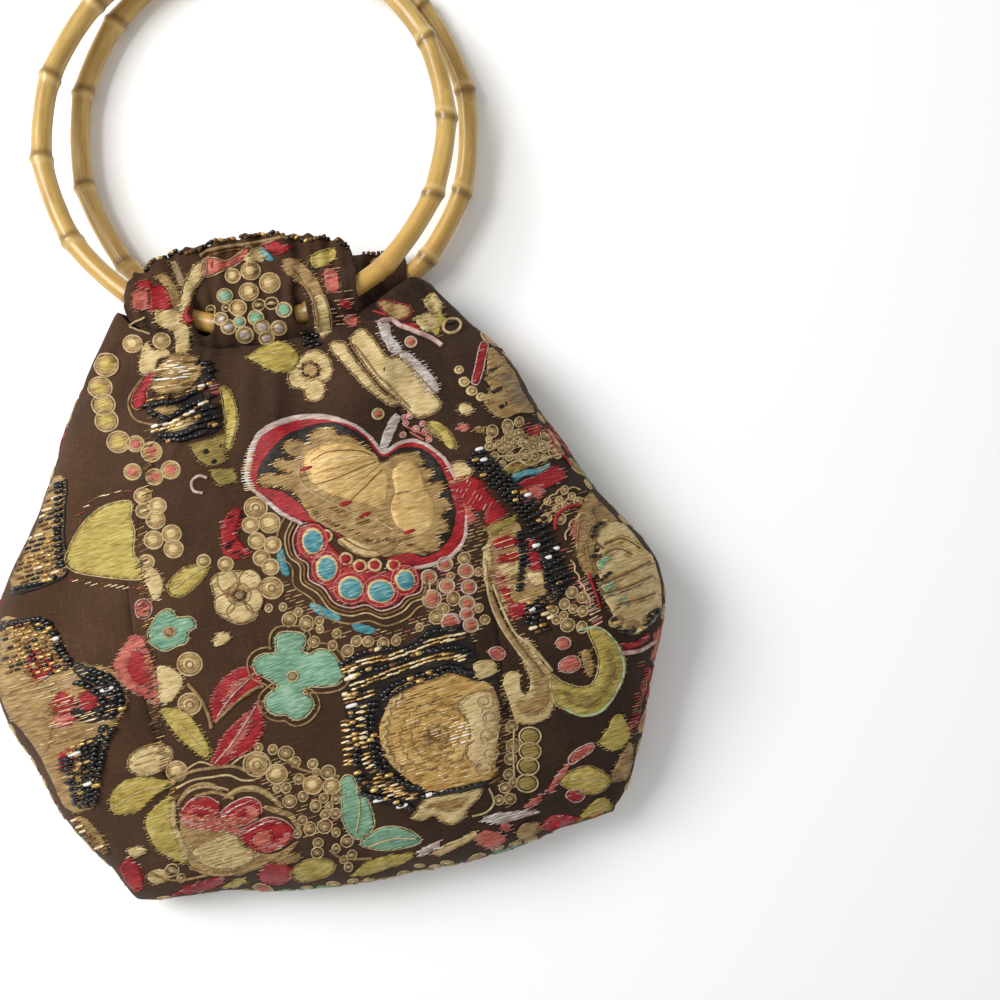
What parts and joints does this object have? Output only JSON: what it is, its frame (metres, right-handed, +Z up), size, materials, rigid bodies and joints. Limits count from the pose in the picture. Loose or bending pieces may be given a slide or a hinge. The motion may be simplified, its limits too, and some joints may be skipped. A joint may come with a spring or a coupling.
{
  "type": "bamboo handle bag",
  "caption": "Soft embroidered pouch bag lying on its back, gathered at the mouth into casings that hold bamboo ring handles.",
  "frame": {"origin": "middle of the bounding box, on the floor that the bag's back lies on", "axes": "+X across the bag, +Y from the bottom seam to the ring handles, +Z up out of the front panel"},
  "size_m": [0.2677, 0.3919, 0.0632],
  "materials": {
    "cloth": "slubbed weave with a slight sheen",
    "bamboo": "varnished"
  },
  "bodies": {
    "root": {"front_panel": "cloth", "back_panel": "cloth", "left_side_panel": "cloth", "right_side_panel": "cloth", "front_casing": "cloth", "back_casing": "cloth", "front_ring": "bamboo", "back_ring": "bamboo"}
  },
  "joints": []
}
